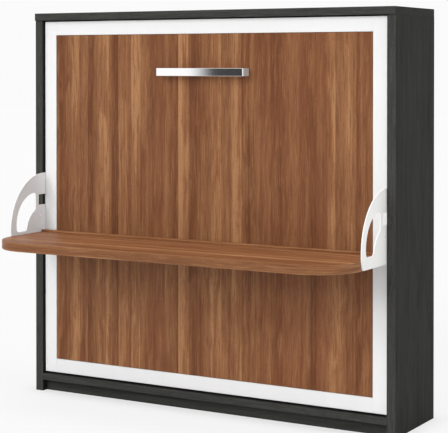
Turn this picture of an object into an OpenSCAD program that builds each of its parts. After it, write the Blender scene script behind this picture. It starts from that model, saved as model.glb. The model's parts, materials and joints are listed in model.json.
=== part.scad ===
// Sideways wall bed with a desk that stays level while the bed folds down.
// Frame: X along the cabinet, Y from the desk towards the wall, Z up, floor at 0.
// All positions are counted from the front plane of the cabinet, then moved by y_off.

/* [Cabinet] */
// Depth of the side boards
cab_d = 466; // [430:2:500]
// Thickness of a side board
side_t = 44; // [38:1:44]
// Thickness of the top board
top_t = 38; // [30:1:44]
// Thickness of the bottom board
bottom_t = 36; // [30:1:36]
// Height of the plinth under the bottom board
plinth_h = 58; // [50:1:58]
// How far the top board stands out in front of the side boards
top_over = 8; // [4:1:14]
// How far the plinth is set back
plinth_set = 34; // [20:1:50]
// Thickness of rails, plinth boards and battens
batten_t = 18; // [15:1:22]
// Thickness of the back board
back_t = 6; // [4:1:8]
// Height of a wall rail
rail_h = 120; // [90:5:160]
// Distance between two wall fixing holes
wall_pitch = 560; // [480:10:600]
// Radius of a wall fixing hole
wall_r = 4.5; // [3:0.5:6]

/* [Bed front] */
// How far the bed front is set back from the cabinet front
door_set = 16; // [10:1:20]
// Thickness of the white border frame
door_t = 22; // [18:1:24]
// Visible width of the white border
border_w = 71; // [60:1:80]
// Shadow gap around the wood panel
panel_gap = 1.5; // [1:0.5:3]
// Gap between border and side board
side_gap = 7; // [7:0.5:9]
// Gap above the bed front
top_gap = 6; // [4:1:10]
// Gap below the bed front
low_gap = 9; // [9:1:12]

/* [Bed frame] */
// Height of the bed pivot above the floor
pivot_z = 300; // [295:1:305]
// Bed pivot behind the face of the bed front
pivot_in = 46; // [42:1:48]
// Radius of the main pivot pin
pin_r = 8; // [6:0.5:9]
// Width of a frame tube
tube_w = 40; // [30:1:44]
// Depth of a frame tube
tube_d = 30; // [25:1:30]
// Wall of a frame tube
tube_wall = 2; // [1.5:0.5:3]
// Number of slats
slat_n = 12; // [10:1:14]
// Width of a slat
slat_w = 68; // [50:1:80]
// Thickness of a slat
slat_t = 8; // [6:1:10]

/* [Mattress] */
// Length of the mattress
mat_l = 1900; // [1800:10:2100]
// Width of the mattress
mat_w = 1600; // [1400:10:1600]
// Thickness of the mattress
mat_t = 200; // [140:5:220]
// Crown of the mattress faces
mat_crown = 6; // [2:1:10]
// Space between an end of the mattress and a side board
mat_end = 36; // [34:1:60]
// Space between the bottom board and the mattress
mat_foot = 86; // [84:1:96]
// Space between the mattress and the top board
mat_head = 174; // [140:1:200]

/* [Desk] */
// Height of the desk top above the floor
desk_z = 845; // [840:1:860]
// Thickness of the desk top
desk_t = 44; // [30:1:46]
// Reach of the desk in front of the cabinet
desk_out = 490; // [480:5:600]
// Radius of the front corners of the desk
desk_r = 218; // [60:1:220]
// Space between desk and bed front
desk_gap = 18; // [14:1:24]
// Height of the strip along the back of the desk
strip_h = 10; // [8:1:24]
// Radius of the curved front of a bracket
arc_r = 278; // [272:1:284]
// Width of the front rim of a bracket
rim_w = 45; // [38:1:52]

/* [Linkage] */
// Thickness of brackets, legs and link bars
plate_t = 5; // [4:0.5:5]
// Offset of the link pivots, back and up
link_off = 32; // [30:1:34]
// Height of the desk pivot above the desk top
desk_pivot = 190; // [185:1:195]
// Distance of the leg pivot below the top board
leg_low = 254; // [200:1:300]
// Radius of desk and leg pivot pins
hub_r = 7; // [5:0.5:8]
// Radius of a link pin
lpin_r = 5; // [4:0.5:5.5]
// Distance from bed pivot to either end of a gas strut
strut_arm = 185; // [182:1:186]
// Radius of the strut tube
strut_r = 9; // [7:0.5:9]
// Radius of the strut rod
rod_r = 4; // [3:0.5:4.5]

/* [Handle] */
// Length of the handle
handle_l = 500; // [400:10:600]
// Height of the handle
handle_h = 40; // [30:1:50]
// Stand-off of the handle from the bed front
handle_out = 58; // [45:1:64]
// Thickness of the handle bar
handle_t = 9; // [6:1:12]
// Distance of the handle centre below the top board
handle_low = 268; // [220:1:300]

/* [Hidden] */
$fn = 48;
run = 0.05;                                  // running clearance of a pin
y_off = (desk_out - cab_d) / 2;
xi = mat_l / 2 + mat_end;                    // inner face of the side boards
cab_w = 2 * (xi + side_t);                   // outside width of the cabinet
zb = plinth_h + bottom_t;                    // top of the bottom board
mat_z0 = zb + mat_foot;
mat_z1 = mat_z0 + mat_w;
mat_mid = (mat_z0 + mat_z1) / 2;
zt = mat_z1 + mat_head;                      // underside of the top board
cab_h = zt + top_t;                          // outside height of the cabinet
handle_z = zt - handle_low;
yb = cab_d - back_t;                         // front of the back board
yr = yb - batten_t;                          // front of the wall rails
door_hw = xi - side_gap;
door_z0 = zb + low_gap;
door_z1 = zt - top_gap;
door_b = door_set + door_t;                  // back of the bed front
yp = door_set + pivot_in;                    // bed pivot
x_br1 = xi - 1;                              // bracket and leg plane
x_br0 = x_br1 - plate_t;
x_l1 = x_br0 - 1;                            // link plane
x_l0 = x_l1 - plate_t;
strut_in = 24;
x_s = xi - strut_in;                         // strut axis
strut_room = 17;
x_t1 = x_s - strut_room;                     // outer side of the side tubes
x_t0 = x_t1 - tube_w;
hinge_t = 6;
x_h1 = x_t1 + hinge_t;
tube_b = door_b + tube_d;                    // back of the tubes
pad_t = 3;
slat_y = tube_b + pad_t;
mat_y = slat_y + slat_t + 0.6 + mat_crown;
cross_out = 16;                              // end tubes reach past the mattress by this
cross_z = [mat_z0 - cross_out, mat_z0 + mat_w * 0.34, mat_z0 + mat_w * 0.66, mat_z1 - tube_w + cross_out];
p1z = desk_z + desk_pivot;
p2z = zt - leg_low;
plate_d = 4;                                 // thickness of a pivot plate
ga = 19.9;                                   // direction of the strut anchor, from upright
gy = yp + strut_arm * sin(ga);
gz = pivot_z + strut_arm * cos(ga);
az = pivot_z - strut_arm;                    // strut anchor on the bed
strut_l = 2 * strut_arm * sin((180 - ga) / 2);
strut_a = atan2(gy - yp, gz - az);           // lean of the strut at rest
desk_b = door_set - desk_gap;                // back edge of the desk
desk_hw = x_br0 - 0.3;
leg_l = pivot_z - 0.5;
foot_h = 10;
stop_z = door_z1 - 10;
bump_t = 3;
plate_low = 45;                              // pivot plate around its two pins
plate_up = 35;
plate_fore = 40;
plate_aft = 28;
plate_z0 = pivot_z - plate_low;
plate_z1 = gz + plate_up;
plate_y0 = yp - plate_fore;
plate_y1 = gy + plate_aft;
post_w = handle_t + 3;

module place() translate([0, y_off, 0]) children();
module both() { children(); mirror([1, 0, 0]) children(); }
module box(x0, x1, y0, y1, z0, z1) translate([x0, y0, z0]) cube([x1 - x0, y1 - y0, z1 - z0]);
module xcyl(x0, x1, y, z, r) translate([x0, y, z]) rotate([0, 90, 0]) cylinder(r = r, h = x1 - x0);
module ycyl(y0, y1, x, z, r) translate([x, y0, z]) rotate([-90, 0, 0]) cylinder(r = r, h = y1 - y0);
module yz(x0, x1) translate([x0, 0, 0]) rotate([90, 0, 90]) linear_extrude(x1 - x0) children();
module bar2(a, b, w) {
  d = b - a;
  l = norm(d);
  translate(a) rotate(atan2(d[1], d[0])) translate([0, -w / 2]) square([l, w]);
  translate(a) circle(w / 2);
  translate(b) circle(w / 2);
}
module tube_z(x0, x1, y0, y1, z0, z1) difference() {
  box(x0, x1, y0, y1, z0, z1);
  box(x0 + tube_wall, x1 - tube_wall, y0 + tube_wall, y1 - tube_wall, z0 - 1, z1 + 1);
}
module csk(x, y, z, r, l, s) translate([x, y, z]) rotate([0, 90 * s, 0]) rotate_extrude()
  polygon([[0, 0], [r * 2, 0], [r, r], [r, l - r], [0, l]]);

// ---------- cabinet ----------
dowel_r = 5;
dowel_y = [70, cab_d - 70];
dowel_z = plinth_h + bottom_t / 2;
module dowel_up(y, g) translate([cab_w / 2 - side_t / 2, y, zt - 18 - g]) cylinder(r = dowel_r + g, h = 36 + 2 * g);
module dowel_in(y, g) xcyl(xi - 20 - g, xi + 20 + g, y, dowel_z, dowel_r + g);
module dowels(g) for (y = dowel_y) both() { dowel_up(y, g); dowel_in(y, g); }
screw_y = [plate_y0 + 12, plate_y1 - 12];
screw_z = [plate_z0 + 12, plate_z1 - 12];

module side_r() difference() {
  box(xi, cab_w / 2, 0, cab_d, 0, zt);
  box(xi - 1, xi + plate_d, plate_y0 - 0.2, plate_y1 + 0.2, plate_z0 - 0.2, plate_z1 + 0.2);
  for (y = dowel_y) { dowel_up(y, 0.1); dowel_in(y, 0.1); }
  for (y = screw_y, z = screw_z) xcyl(xi, xi + 26, y, z, 2.1);
  xcyl(xi, xi + 14, yp, pivot_z, pin_r + 0.1);
}
module side_panel_right() color("#333331") place() side_r();
module side_panel_left() color("#333331") place() mirror([1, 0, 0]) side_r();
module top_panel() color("#3a3a38") place() difference() {
  box(-cab_w / 2, cab_w / 2, -top_over, cab_d, zt, cab_h);
  dowels(0.1);
}
module bottom_panel() color("#3a3a38") place() difference() {
  box(-xi, xi, 0, yb, plinth_h, zb);
  dowels(0.1);
}
module plinth_front() color("#222221") place()
  box(-xi, xi, plinth_set, plinth_set + batten_t, 0, plinth_h);
module plinth_rear() color("#222221") place() box(-xi, xi, yr, yb, 0, plinth_h);
module plinth_ribs() color("#222221") place() for (x = [-xi / 2, 0, xi / 2])
  box(x - batten_t / 2, x + batten_t / 2, plinth_set + batten_t, yr, 0, plinth_h);
module back_panel() color("#4a4a48") place() difference() {
  box(-xi, xi, yb, cab_d, 0, zt);
  wall_holes();
}
module wall_holes() for (i = [-1.5:1:1.5]) ycyl(yr - 1, cab_d + 1, i * wall_pitch, zt - rail_h / 2, wall_r);
module wall_rail_top() color("#3a3a38") place() difference() {
  box(-xi, xi, yr, yb, zt - rail_h, zt);
  wall_holes();
}
mid_z = (zb + zt) / 2;
module wall_rails_low() color("#3a3a38") place() for (z = [zb, mid_z - rail_h / 2])
  box(-xi, xi, yr, yb, z, z + rail_h);
module cabinet_dowels() color("#c8a878") place() dowels(0);
module stop_batten() color("#3a3a38") place()
  box(-xi, xi, door_b + bump_t, door_b + bump_t + batten_t, stop_z - 14, zt);
module stop_bumpers() color("#202020") place() both()
  ycyl(door_b + 0.3, door_b + bump_t, door_hw - 200, stop_z, 8);
module plate_r() difference() {
  box(xi, xi + plate_d, plate_y0, plate_y1, plate_z0, plate_z1);
  xcyl(xi - 1, xi + plate_d + 1, yp, pivot_z, pin_r + run);
  xcyl(xi - 1, xi + plate_d + 1, yp + link_off, pivot_z + link_off, lpin_r + run);
  xcyl(xi - 1, xi + plate_d + 1, gy, gz, lpin_r + run);
  for (y = screw_y, z = screw_z) csk(xi - 0.05, y, z, 2.1, 30, 1);
}
module pivot_plate_right() color("#9a9c9e") place() plate_r();
module pivot_plate_left() color("#9a9c9e") place() mirror([1, 0, 0]) plate_r();
module plate_screws() color("#c9cbcd") place() both()
  for (y = screw_y, z = screw_z) csk(xi + 0.05, y, z, 2, 24, 1);
module main_pins() color("#b4b6b8") place() both() {
  xcyl(x_t1 - 4, xi + 13, yp, pivot_z, pin_r);
  xcyl(x_h1 + 0.4, x_h1 + 2.4, yp, pivot_z, pin_r + 3);
}
module anchor_pins() color("#b4b6b8") place() both() {
  xcyl(x_l0 - 0.5, xi + plate_d, yp + link_off, pivot_z + link_off, lpin_r);
  xcyl(x_s - 7, xi + plate_d, gy, gz, lpin_r);
}

// ---------- bed ----------
module stile_r() box(door_hw - border_w, door_hw, door_set, door_b, door_z0, door_z1);
module frame_stile_right() color("#f0f0ef") place() stile_r();
module frame_stile_left() color("#f0f0ef") place() mirror([1, 0, 0]) stile_r();
rail_hw = door_hw - border_w;
module frame_rail_top() color("#f0f0ef") place() box(-rail_hw, rail_hw, door_set, door_b, door_z1 - border_w, door_z1);
module frame_rail_bottom() color("#f0f0ef") place() box(-rail_hw, rail_hw, door_set, door_b, door_z0, door_z0 + border_w);
module handle_holes() for (s = [-1, 1])
  ycyl(door_set - 1, door_b + 1, s * (handle_l / 2 - post_w / 2), handle_z, 2.6);
module front_panel() color("#8c5c3e") place() difference() {
  box(-rail_hw + panel_gap, rail_hw - panel_gap, door_set + 1, door_b,
    door_z0 + border_w + panel_gap, door_z1 - border_w - panel_gap);
  handle_holes();
}
tube_z0 = door_z0 + 6;
tube_z1 = stop_z - 24;
module side_tube_r() difference() {
  tube_z(x_t0, x_t1, door_b, tube_b, tube_z0, tube_z1);
  xcyl(x_t1 - 5, x_t1 + 1, yp, pivot_z, pin_r + 3);
  for (z = [p1z, p2z]) xcyl(x_t1 - 5, x_t1 + 1, yp, z, hub_r + run);
  xcyl(x_t1 - 5, x_t1 + 1, yp, az, lpin_r + run);
}
module side_tube_right() color("#55575a") place() side_tube_r();
module side_tube_left() color("#55575a") place() mirror([1, 0, 0]) side_tube_r();
module cross(z) difference() {
  box(-x_t0, x_t0, door_b, tube_b, z, z + tube_w);
  box(-x_t0 - 1, x_t0 + 1, door_b + tube_wall, tube_b - tube_wall, z + tube_wall, z + tube_w - tube_wall);
}
module cross_tube_foot() color("#55575a") place() difference() {
  cross(cross_z[0]);
  for (x = guard_x) ycyl(tube_b - 5, tube_b + 1, x, guard_z, guard_r + run);
}
module cross_tubes() color("#55575a") place() for (k = [1:3]) cross(cross_z[k]);
hinge_w = 34;
hinge_up = 115;                              // reach of a hinge plate above the bed pivot
hinge_y = yp - 3;
module hinge_plates() color("#85878a") place() both() yz(x_t1, x_h1) difference() {
  union() {
    translate([hinge_y - hinge_w / 2, az]) square([hinge_w, strut_arm + hinge_up]);
    translate([hinge_y, az]) circle(hinge_w / 2);
    translate([hinge_y, pivot_z + hinge_up]) circle(hinge_w / 2);
    translate([yp, pivot_z]) circle(hinge_w / 2 + 3);
  }
  translate([yp, pivot_z]) circle(pin_r + 3);
  translate([yp, az]) circle(lpin_r + run);
}
lug_r = 18;
lug_h = 60;
module pivot_lugs() color("#85878a") place() both() for (z = [p1z, p2z])
  yz(x_t1, x_h1) difference() {
    union() {
      translate([yp - lug_r, z - lug_h / 2]) square([2 * lug_r - 4, lug_h]);
      translate([yp, z]) circle(lug_r);
    }
    translate([yp, z]) circle(hub_r + run);
  }
module main_bushes() color("#d8c9a0") place() both() yz(x_t1 - 1, x_h1) translate([yp, pivot_z])
  difference() { circle(pin_r + 3 - run); circle(pin_r + run); }
module hub_pin(z) {
  xcyl(x_t1 - 4, x_br1, yp, z, hub_r);
  xcyl(x_h1, x_br0 - 0.8, yp, z, hub_r + 2);
}
module hub_pins() color("#b4b6b8") place() both() for (z = [p1z, p2z]) hub_pin(z);
module strut_studs() color("#b4b6b8") place() both() xcyl(x_t1 - 4, x_s + 7, yp, az, lpin_r);
slat_x = [for (i = [0:slat_n - 1]) (i - (slat_n - 1) / 2) * (2 * x_t0 - slat_w - 20) / (slat_n - 1)];
function bay(k) = (slat_x[k] + slat_x[k + 1]) / 2;   // middle of the space between two slats
slat_in = 6;
slat_z0 = cross_z[0] + slat_in;
slat_z1 = cross_z[3] + tube_w - slat_in;
module slats() color("#dcc39a") place() for (x = slat_x)
  box(x - slat_w / 2, x + slat_w / 2, slat_y, slat_y + slat_t, slat_z0, slat_z1);
cap_l = 34;                                  // slat cap and its walls
cap_end = 4;
cap_side = 3;
module cap(x, z0, s) translate([x, 0, z0]) mirror([0, 0, (1 - s) / 2]) difference() {
  box(-slat_w / 2 - cap_side, slat_w / 2 + cap_side, tube_b, slat_y + slat_t, -cap_end, cap_l - cap_end);
  box(-slat_w / 2 - 0.2, slat_w / 2 + 0.2, slat_y - 0.1, slat_y + slat_t + 1, -0.2, cap_l);
}
module slat_caps() color("#2a2a2a") place() for (x = slat_x) {
  cap(x, slat_z0, 1);
  cap(x, slat_z1, -1);
}
pad_w = 40;
pad_in = 8;
module slat_pads() color("#2a2a2a") place() for (x = slat_x, k = [1, 2])
  box(x - pad_w / 2, x + pad_w / 2, tube_b, slat_y, cross_z[k] + pad_in, cross_z[k] + tube_w - pad_in);

// mattress: rows of a closed skin, from the middle of one face round to the other
mat_n = 9;
mat_rc = 55;
function rr(hx, hz, r) = [for (q = [0:3], k = [0:mat_n - 1])
  let (a = 90 * q + 90 * k / (mat_n - 1), sx = (q == 0 || q == 3) ? 1 : -1, sz = q < 2 ? 1 : -1)
  [sx * (hx - r) + r * cos(a), sz * (hz - r) + r * sin(a)]];
mat_rows = [[400, -mat_crown], [150, -mat_crown * 0.75], [45, 0], [14, 5], [2, 17], [0, 32], [5, mat_t * 0.36],
  [6, mat_t / 2], [5, mat_t * 0.64], [0, mat_t - 32], [2, mat_t - 17], [14, mat_t - 5], [45, mat_t],
  [150, mat_t + mat_crown * 0.75], [400, mat_t + mat_crown]];
mat_m = 4 * mat_n;
mat_k = len(mat_rows);
mat_pts = [for (w = mat_rows) each [for (p = rr(mat_l / 2 - w[0], mat_w / 2 - w[0], max(20, mat_rc - w[0] / 2)))
  [p[0], mat_y + w[1], mat_mid + p[1]]]];
module mattress() color("#f2efe8") place() polyhedron(
  points = concat(mat_pts, [[0, mat_y - mat_crown, mat_mid], [0, mat_y + mat_t + mat_crown, mat_mid]]),
  faces = concat(
    [for (j = [0:mat_k - 2], i = [0:mat_m - 1]) let (a = j * mat_m + i, b = j * mat_m + (i + 1) % mat_m) [a, b, b + mat_m]],
    [for (j = [0:mat_k - 2], i = [0:mat_m - 1]) let (a = j * mat_m + i, b = j * mat_m + (i + 1) % mat_m) [a, b + mat_m, a + mat_m]],
    [for (i = [0:mat_m - 1]) [(i + 1) % mat_m, i, mat_k * mat_m]],
    [for (i = [0:mat_m - 1]) let (o = (mat_k - 1) * mat_m) [o + i, o + (i + 1) % mat_m, mat_k * mat_m + 1]]));
strap_y = mat_y + mat_t + mat_crown + 0.4;
strap_x = -bay(2);
strap_t = 2;
strap_w = 40;
strap_tab = 22;                              // overlap of a strap on the frame tube
function strap2(g, y0, y1) = [[y0, cross_z[0] - 0.4 - g], [tube_b + 3, cross_z[0] - 0.4 - g],
  [mat_y + 10, mat_z0 - 0.6 - g], [y1, mat_z0 - 0.6 - g], [y1, mat_z1 + 0.6 + g],
  [mat_y + 10, mat_z1 + 0.6 + g], [tube_b + 3, cross_z[3] + tube_w + 0.4 + g],
  [y0, cross_z[3] + tube_w + 0.4 + g]];
module mattress_straps() color("#3c3c3e") place() both() yz(strap_x - strap_w / 2, strap_x + strap_w / 2) difference() {
  polygon(strap2(strap_t, tube_b - strap_tab, strap_y + strap_t));
  polygon(strap2(0, tube_b - strap_tab - 1, strap_y));
}
guard_r = 6;
guard_bend = 24;
guard_x = [bay(1), bay(3), bay(slat_n - 5), bay(slat_n - 3)];
guard_z = cross_z[0] + guard_r + 1;
guard_y = mat_y + mat_t * 0.72;
module loop(x0, x1) {
  r = guard_bend;
  for (x = [x0, x1]) ycyl(tube_b - 4, guard_y - r, x, guard_z, guard_r);
  translate([x0 + r, guard_y - r, guard_z]) rotate([0, 0, 90]) rotate_extrude(angle = 90) translate([r, 0]) circle(guard_r);
  translate([x1 - r, guard_y - r, guard_z]) rotate_extrude(angle = 90) translate([r, 0]) circle(guard_r);
  xcyl(x0 + r, x1 - r, guard_y, guard_z, guard_r);
}
module mattress_guard() color("#9a9c9e") place() for (i = [0:2:len(guard_x) - 1]) loop(guard_x[i], guard_x[i + 1]);
module handle() color("#d6d8da") place() difference() {
  union() {
    box(-handle_l / 2, handle_l / 2, door_set - handle_out, door_set - handle_out + handle_t,
      handle_z - handle_h / 2, handle_z + handle_h / 2);
    both() box(handle_l / 2 - post_w, handle_l / 2, door_set - handle_out, door_set + 1,
      handle_z - handle_h / 2, handle_z + handle_h / 2);
  }
  for (s = [-1, 1]) ycyl(door_set - 20, door_set + 2, s * (handle_l / 2 - post_w / 2), handle_z, 2.1);
}
module handle_screws() color("#c9cbcd") place() for (s = [-1, 1]) {
  ycyl(door_set - 16, door_b, s * (handle_l / 2 - post_w / 2), handle_z, 2);
  ycyl(door_b, door_b + 3, s * (handle_l / 2 - post_w / 2), handle_z, 4.5);
}

// ---------- desk ----------
arc_out = 274;                               // reach of a bracket in front of the cabinet
arc_y = arc_r - arc_out;                     // centre of the curved front
arc_z = desk_z + 30;
screw_dy = [26 - arc_out, -140, -21];
desk_sz = desk_z - desk_t / 2 + 2;
module desk_top() color("#8c5c3e") place() difference() {
  translate([0, 0, desk_z - desk_t]) linear_extrude(desk_t) {
    translate([-desk_hw, -desk_out + desk_r]) square([2 * desk_hw, desk_out - desk_r + desk_b]);
    translate([-desk_hw + desk_r, -desk_out]) square([2 * (desk_hw - desk_r), desk_r + 1]);
    for (s = [-1, 1]) translate([s * (desk_hw - desk_r), -desk_out + desk_r]) circle(desk_r, $fn = 96);
  }
  both() for (y = screw_dy) xcyl(desk_hw - 36, desk_hw + 1, y, desk_sz, 2.6);
}
strip_d = 18;
module desk_strip() color("#8c5c3e") place()
  box(-desk_hw, desk_hw, desk_b - strip_d, desk_b, desk_z, desk_z + strip_h);
tail = [yp + link_off, p1z + link_off];
toe_r = 16;                                  // rounded lower front corner of a bracket
toe = 7 + toe_r - arc_out;
boss_r = 24;
ear_r = 18;
// two bosses and the web between them, set at 45 degrees
module crank(a, b) {
  translate(a) circle(boss_r);
  translate(b) circle(ear_r);
  u = [boss_r / 2, -boss_r / 2];
  v = [0.55 * ear_r, -0.55 * ear_r];
  polygon([a + u, b + v, b - v, a - u]);
}
lap = 18;                                    // bracket edge above the underside of the desk
sill = 14;                                   // lower edge of the window above the desk
win_r = 161;                                 // curved edge of the window
win_y = rim_w + win_r - arc_out;
win_z = desk_z + 48;
sweep_r = 131;                               // concave edge of the window
sweep_y = -14;
post_y = -66;                                // front of the upright behind the window
brow = 30;                                   // back edge of a bracket
big = 2 * arc_r;                             // longer than any cut
notch = [-42, 141, 62, 55];
dot = [-26, 85, 4];
module bracket2() difference() {
  union() {
    intersection() {
      translate([arc_y, arc_z]) circle(arc_r, $fn = 180);
      union() {
        translate([brow - big, desk_z - desk_t + lap]) square([big, big]);
        translate([toe, desk_z - desk_t + lap - toe_r]) square([brow - toe, 2 * toe_r]);
        translate([toe, desk_z - desk_t + lap]) circle(toe_r);
      }
    }
    translate([10, p1z - 20]) square([yp - 10, 40]);
    crank([yp, p1z], tail);
  }
  // window that follows the rim
  difference() {
    intersection() {
      translate([win_y, win_z]) circle(win_r, $fn = 180);
      translate([post_y - big, desk_z + sill]) square([big, big]);
    }
    translate([sweep_y, desk_z]) circle(sweep_r, $fn = 96);
  }
  translate([notch[0], desk_z + notch[1]]) square([notch[2], notch[3]]);
  translate([dot[0], desk_z + dot[1]]) circle(dot[2]);
  translate([yp, p1z]) circle(hub_r + 2 + run);
  translate(tail) circle(lpin_r + run);
}
module bracket_r() difference() {
  yz(x_br0, x_br1) bracket2();
  for (y = screw_dy) csk(x_br1 + 0.05, y, desk_sz, 2.6, 30, -1);
}
module desk_bracket_right() color("#f0f0ef") place() bracket_r();
module desk_bracket_left() color("#f0f0ef") place() mirror([1, 0, 0]) bracket_r();
module desk_screws() color("#c9cbcd") place() both()
  for (y = screw_dy) csk(x_br1 - 0.05, y, desk_sz, 2.5, 32, -1);
module desk_bushes() color("#2a2a2a") place() both() yz(x_br0, x_br1) translate([yp, p1z])
  difference() { circle(hub_r + 2); circle(hub_r + run); }
module tail_pins() color("#b4b6b8") place() both() xcyl(x_l0 - 0.5, x_br1, tail[0], tail[1], lpin_r);

// ---------- link bars, legs ----------
q0 = [yp + link_off, pivot_z + link_off];
q2 = [yp + link_off, p2z + link_off];
link_w = 28;
module link_r() yz(x_l0, x_l1) difference() {
  bar2(q0, q2, link_w);
  translate(q0) circle(lpin_r + run);
  translate(tail) circle(lpin_r + 0.3);
  translate(q2) circle(lpin_r + 0.3);
}
module link_bar_right() color("#85878a") place() link_r();
module link_bar_left() color("#85878a") place() mirror([1, 0, 0]) link_r();
leg_w = 56;
leg_y = yp - 20;                             // front edge of a leg
module leg_r() yz(x_br0, x_br1) difference() {
  union() {
    crank([yp, p2z], q2);
    translate([leg_y, p2z - leg_l + foot_h]) square([leg_w, leg_l - foot_h + 4]);
  }
  translate([yp, p2z]) circle(hub_r + run);
  translate(q2) circle(lpin_r + run);
}
module leg_right() color("#85878a") place() leg_r();
module leg_left() color("#85878a") place() mirror([1, 0, 0]) leg_r();
module foot_r() box(x_br0, x_br1, leg_y - 3, leg_y + leg_w + 3, p2z - leg_l, p2z - leg_l + foot_h);
module foot_right() color("#202020") place() foot_r();
module foot_left() color("#202020") place() mirror([1, 0, 0]) foot_r();
module knee_r() xcyl(x_l0 - 0.5, x_br1, q2[0], q2[1], lpin_r);
module knee_pin_right() color("#b4b6b8") place() knee_r();
module knee_pin_left() color("#b4b6b8") place() mirror([1, 0, 0]) knee_r();

// ---------- gas struts ----------
tube_len = 190;                              // from the upper eye to the mouth of the tube
rod_len = 190;
cham_r = strut_r - 1.2;
module along(s) translate([x_s, gy, gz]) rotate([-strut_a, 0, 0]) translate([0, 0, -s]) children();
module strut_tube_r() difference() {
  union() {
    xcyl(x_s - 6, x_s + 6, gy, gz, 8);
    along(tube_len) cylinder(r = strut_r, h = tube_len - 12);
    along(20) cylinder(r = 5, h = 16);
  }
  xcyl(x_s - 7, x_s + 7, gy, gz, lpin_r + run);
  along(tube_len - 8) cylinder(r = cham_r, h = tube_len - 8 - 17);
  along(tube_len + 1) cylinder(r = rod_r + run, h = 12);
}
module strut_tube_right() color("#2c2d30") place() strut_tube_r();
module strut_tube_left() color("#2c2d30") place() mirror([1, 0, 0]) strut_tube_r();
module strut_rod_r() difference() {
  union() {
    xcyl(x_s - 6, x_s + 6, yp, az, 8);
    along(strut_l) cylinder(r = rod_r, h = rod_len);
    along(strut_l - rod_len + 7) cylinder(r = cham_r - 0.2, h = 7);
  }
  xcyl(x_s - 7, x_s + 7, yp, az, lpin_r + run);
}
module strut_rod_right() color("#c9cbcd") place() strut_rod_r();
module strut_rod_left() color("#c9cbcd") place() mirror([1, 0, 0]) strut_rod_r();

side_panel_left();
side_panel_right();
top_panel();
bottom_panel();
plinth_front();
plinth_rear();
plinth_ribs();
back_panel();
wall_rail_top();
wall_rails_low();
cabinet_dowels();
stop_batten();
stop_bumpers();
pivot_plate_left();
pivot_plate_right();
plate_screws();
main_pins();
anchor_pins();
frame_stile_left();
frame_stile_right();
frame_rail_top();
frame_rail_bottom();
front_panel();
side_tube_left();
side_tube_right();
cross_tube_foot();
cross_tubes();
hinge_plates();
pivot_lugs();
main_bushes();
hub_pins();
strut_studs();
slats();
slat_caps();
slat_pads();
mattress();
mattress_straps();
mattress_guard();
handle();
handle_screws();
desk_top();
desk_strip();
desk_bracket_left();
desk_bracket_right();
desk_screws();
desk_bushes();
tail_pins();
link_bar_left();
link_bar_right();
leg_left();
leg_right();
foot_left();
foot_right();
knee_pin_left();
knee_pin_right();
strut_tube_left();
strut_tube_right();
strut_rod_left();
strut_rod_right();
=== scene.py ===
"""Dresses a packed sideways wall bed with a level desk in laminate, lacquer, walnut, metal and cloth."""

import json
import math

import bmesh
import bpy
from bpy.props import FloatProperty, FloatVectorProperty, PointerProperty
from mathutils import Matrix, Vector
from mathutils.bvhtree import BVHTree


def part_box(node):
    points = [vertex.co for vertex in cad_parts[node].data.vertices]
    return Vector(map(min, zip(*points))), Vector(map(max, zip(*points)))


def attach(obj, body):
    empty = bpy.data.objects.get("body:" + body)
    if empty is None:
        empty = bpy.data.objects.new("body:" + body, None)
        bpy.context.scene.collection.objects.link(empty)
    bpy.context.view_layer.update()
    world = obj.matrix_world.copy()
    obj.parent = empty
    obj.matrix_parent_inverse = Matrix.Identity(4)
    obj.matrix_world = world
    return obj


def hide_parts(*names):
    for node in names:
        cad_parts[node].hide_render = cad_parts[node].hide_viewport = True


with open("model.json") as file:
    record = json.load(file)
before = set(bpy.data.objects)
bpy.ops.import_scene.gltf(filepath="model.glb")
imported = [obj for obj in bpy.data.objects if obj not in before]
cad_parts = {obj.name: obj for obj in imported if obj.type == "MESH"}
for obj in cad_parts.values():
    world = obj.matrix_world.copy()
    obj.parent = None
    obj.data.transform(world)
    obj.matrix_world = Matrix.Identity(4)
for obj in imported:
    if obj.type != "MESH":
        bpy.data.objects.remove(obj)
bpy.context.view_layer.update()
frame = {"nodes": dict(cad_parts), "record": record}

bl_info = {
    "name": "Wall bed with level desk",
    "version": (1, 0, 0),
    "blender": (4, 5, 0),
    "location": "3D View > Sidebar > Wall bed",
    "description": "Dresses the packed wall bed with its boards, metalwork, mattress and stage",
    "category": "Object",
}

MM = 0.001
X, Y, Z = 0, 1, 2


def linear(hex_colour):
    """A display colour such as 8c5c3e as Blender's linear values."""
    parts = [int(hex_colour[i:i + 2], 16) / 255 for i in (0, 2, 4)]
    return tuple(p / 12.92 if p <= 0.04045 else ((p + 0.055) / 1.055) ** 2.4 for p in parts)


# ---------------- sizes and colours


def length(name, description, default, largest):
    return FloatProperty(name=name, description=description, default=default, min=0.0, max=largest,
                         unit="LENGTH", subtype="DISTANCE")


def colour(name, description, hex_colour):
    return FloatVectorProperty(name=name, description=description, size=3, min=0.0, max=1.0,
                               subtype="COLOR", default=linear(hex_colour))


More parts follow.
